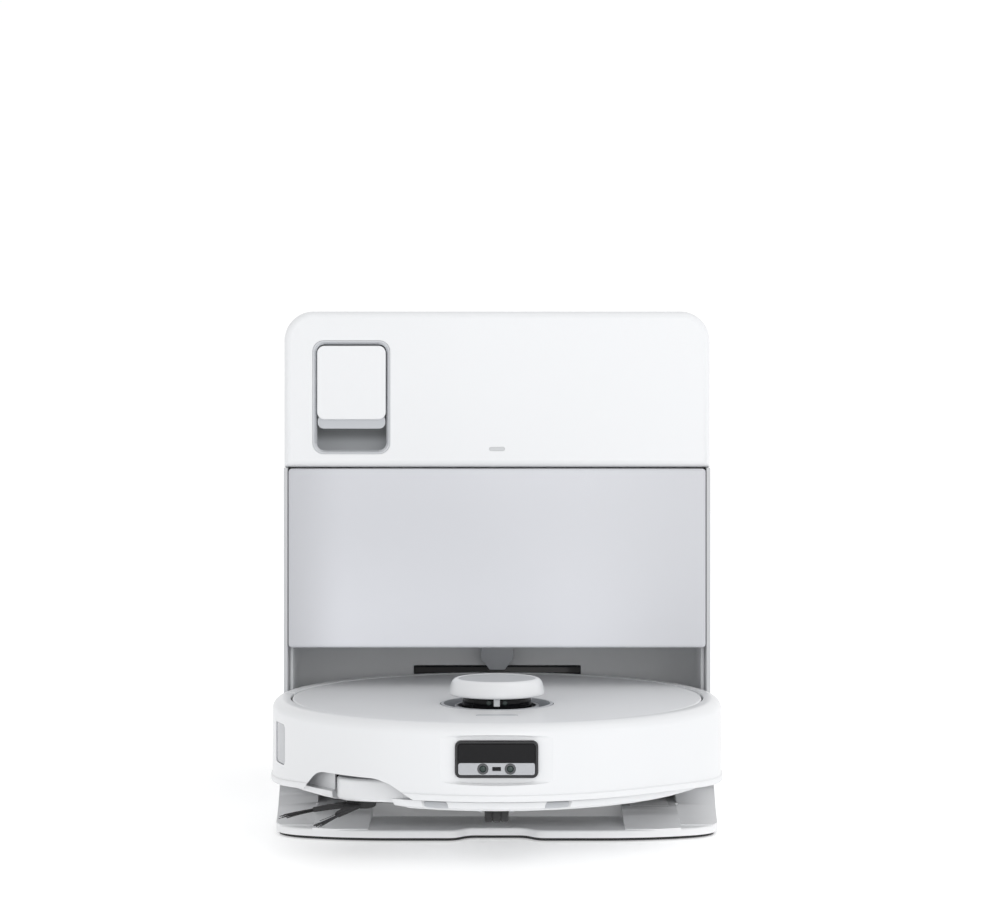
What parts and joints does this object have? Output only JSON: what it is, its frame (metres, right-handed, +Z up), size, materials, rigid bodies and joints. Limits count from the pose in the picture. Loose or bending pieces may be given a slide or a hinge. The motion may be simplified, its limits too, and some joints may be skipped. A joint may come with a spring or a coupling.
{
  "type": "robot vacuum with dock",
  "caption": "Round robot vacuum and mop standing in its washing and self-emptying station; slides out, with opening tanks, bumper, brushes and mops that move.",
  "frame": {"origin": "centre of the footprint, on the floor under the station", "axes": "+Z up, +X to the right of someone facing the front, -Y towards that person; +Y is the longest extent"},
  "size_m": [0.353, 0.4824, 0.405],
  "materials": {
    "white": "satin white",
    "cabinet": "fine matt white",
    "panel": "satin cool grey",
    "liner": "matt grey",
    "base": "matt white",
    "trim": "matt light grey",
    "black": "black plastic",
    "glass": "polished black window",
    "rubber": "black rubber",
    "metal": "gold plated contacts",
    "silver": "silver painted",
    "tank": "smoke grey clear plastic",
    "fabric": "looped microfibre",
    "bag": "non-woven paper cloth",
    "grey": "matt dark grey"
  },
  "bodies": {
    "dock": {"base_sole": "rubber", "base_plate": "base", "wash_board": "trim", "cabinet_shell": "cabinet", "front_fascia": "white", "status_light": "silver", "mains_inlet": "black", "bay_liner": "liner", "bay_window": "glass", "docking_beacon": "trim", "inner_frame": "liner", "dust_bag": "bag", "dust_bag_collar": "trim", "dock_fan": "black"},
    "dock_contacts": {"charging_contacts": "metal"},
    "dust_door": {"dust_cover": "panel"},
    "cartridge": {"detergent_cartridge": "white"},
    "clean_water": {"clean_tank": "tank"},
    "clean_lid": {"clean_tank_lid": "white"},
    "clean_handle": {"clean_tank_handle": "trim"},
    "dirty_water": {"dirty_tank": "tank"},
    "dirty_lid": {"dirty_tank_lid": "white"},
    "dirty_handle": {"dirty_tank_handle": "trim"},
    "robot": {"chassis": "white", "rear_shell": "white", "charging_strips": "metal", "deck": "trim", "turret_base": "trim", "left_cliff_window": "trim", "right_cliff_window": "trim", "battery": "black", "dust_bin": "tank", "brush_guard": "trim"},
    "bumper_ring": {"bumper": "white", "wall_sensor_window": "trim", "sensor_frame": "black", "sensor_window": "glass", "camera_strip": "silver", "left_lens": "grey", "right_lens": "grey"},
    "cover": {"top_cover": "white"},
    "button": {"start_button": "trim"},
    "rotor": {"lidar_rotor": "black"},
    "turret_cap": {"lidar_cap": "white"},
    "left_suspension": {"left_wheel_arm": "grey"},
    "left_wheel": {"left_wheel_hub": "grey", "left_tyre": "rubber"},
    "right_suspension": {"right_wheel_arm": "grey"},
    "right_wheel": {"right_wheel_hub": "grey", "right_tyre": "rubber"},
    "caster": {"caster_fork": "trim"},
    "caster_roller": {"caster_wheel": "rubber"},
    "brush_arm": {"side_brush_arm": "white"},
    "corner_brush": {"side_brush": "rubber"},
    "roller_brush": {"main_brush": "rubber"},
    "mop_lifter": {"mop_carriage": "grey"},
    "left_mop": {"left_mop_disc": "grey", "left_mop_pad": "fabric"},
    "right_mop": {"right_mop_disc": "grey", "right_mop_pad": "fabric"}
  },
  "joints": [
    {"name": "undock_slide", "type": "slide", "parent": "dock", "child": "robot", "axis": [0, -1, 0], "range_m": [0, 0.3]},
    {"name": "contact_press", "type": "slide", "parent": "dock", "child": "dock_contacts", "axis": [0, 1, 0], "range_m": [0, 0.002], "stiffness_N_per_m": 400},
    {"name": "dust_door_slide", "type": "slide", "parent": "dock", "child": "dust_door", "axis": [0, -1, 0], "range_m": [0, 0.15]},
    {"name": "cartridge_slide", "type": "slide", "parent": "dock", "child": "cartridge", "axis": [0, -1, 0], "range_m": [0, 0.06]},
    {"name": "clean_tank_lift", "type": "slide", "parent": "dock", "child": "clean_water", "axis": [0, 0, 1], "range_m": [0, 0.15]},
    {"name": "clean_lid_hinge", "type": "hinge", "parent": "clean_water", "child": "clean_lid", "pos_m": [0.0822, 0.22775, 0.404], "axis": [-1, 0, 0], "range_deg": [0, 70]},
    {"name": "clean_handle_hinge", "type": "hinge", "parent": "clean_lid", "child": "clean_handle", "pos_m": [0.0822, 0.15825, 0.3985], "axis": [-1, 0, 0], "range_deg": [0, 90]},
    {"name": "dirty_tank_lift", "type": "slide", "parent": "dock", "child": "dirty_water", "axis": [0, 0, 1], "range_m": [0, 0.15]},
    {"name": "dirty_lid_hinge", "type": "hinge", "parent": "dirty_water", "child": "dirty_lid", "pos_m": [-0.0822, 0.22775, 0.404], "axis": [-1, 0, 0], "range_deg": [0, 70]},
    {"name": "dirty_handle_hinge", "type": "hinge", "parent": "dirty_lid", "child": "dirty_handle", "pos_m": [-0.0822, 0.1865, 0.3985], "axis": [-1, 0, 0], "range_deg": [0, 90]},
    {"name": "bumper_press", "type": "slide", "parent": "robot", "child": "bumper_ring", "axis": [0, 1, 0], "range_m": [0, 0.003], "stiffness_N_per_m": 300},
    {"name": "cover_hinge", "type": "hinge", "parent": "robot", "child": "cover", "pos_m": [0, 0.08725, 0.097], "axis": [-1, 0, 0], "range_deg": [0, 15]},
    {"name": "button_press", "type": "slide", "parent": "robot", "child": "button", "axis": [0, 0, -1], "range_m": [0, 0.001], "stiffness_N_per_m": 400, "springref_m": -0.0005},
    {"name": "rotor_spin", "type": "hinge", "parent": "robot", "child": "rotor", "pos_m": [0, -0.11475, 0.094], "axis": [0, 0, 1], "continuous": true},
    {"name": "turret_press", "type": "slide", "parent": "robot", "child": "turret_cap", "axis": [0, 0, -1], "range_m": [0, 0.0012], "stiffness_N_per_m": 900, "springref_m": -0.0005},
    {"name": "left_suspension_hinge", "type": "hinge", "parent": "robot", "child": "left_suspension", "pos_m": [-0.121, -0.10375, 0.0503], "axis": [1, 0, 0], "range_deg": [0, 9], "stiffness_Nm_per_rad": 1.5},
    {"name": "left_wheel_spin", "type": "hinge", "parent": "left_suspension", "child": "left_wheel", "pos_m": [-0.121, -0.05975, 0.0503], "axis": [1, 0, 0], "continuous": true},
    {"name": "right_suspension_hinge", "type": "hinge", "parent": "robot", "child": "right_suspension", "pos_m": [0.121, -0.10375, 0.0503], "axis": [1, 0, 0], "range_deg": [0, 9], "stiffness_Nm_per_rad": 1.5},
    {"name": "right_wheel_spin", "type": "hinge", "parent": "right_suspension", "child": "right_wheel", "pos_m": [0.121, -0.05975, 0.0503], "axis": [1, 0, 0], "continuous": true},
    {"name": "caster_swivel", "type": "hinge", "parent": "robot", "child": "caster", "pos_m": [0, -0.20275, 0.044], "axis": [0, 0, 1], "continuous": true},
    {"name": "caster_spin", "type": "hinge", "parent": "caster", "child": "caster_roller", "pos_m": [0, -0.20275, 0.0335], "axis": [1, 0, 0], "continuous": true},
    {"name": "brush_arm_swing", "type": "hinge", "parent": "robot", "child": "brush_arm", "pos_m": [-0.06189, -0.19278, 0.044], "axis": [0, 0, 1], "range_deg": [0, 35]},
    {"name": "side_brush_spin", "type": "hinge", "parent": "brush_arm", "child": "corner_brush", "pos_m": [-0.09809, -0.18165, 0.034], "axis": [0, 0, 1], "continuous": true},
    {"name": "main_brush_spin", "type": "hinge", "parent": "robot", "child": "roller_brush", "pos_m": [0, -0.11075, 0.046], "axis": [1, 0, 0], "continuous": true},
    {"name": "mop_lift", "type": "slide", "parent": "robot", "child": "mop_lifter", "axis": [0, 0, 1], "range_m": [0, 0.007]},
    {"name": "left_mop_spin", "type": "hinge", "parent": "mop_lifter", "child": "left_mop", "pos_m": [-0.066, 0.02125, 0.034], "axis": [0, 0, 1], "continuous": true},
    {"name": "right_mop_spin", "type": "hinge", "parent": "mop_lifter", "child": "right_mop", "pos_m": [0.066, 0.02125, 0.034], "axis": [0, 0, 1], "continuous": true}
  ],
  "couplings": [
    {"joint": "right_mop_spin", "follows": "left_mop_spin", "ratio": -1}
  ]
}
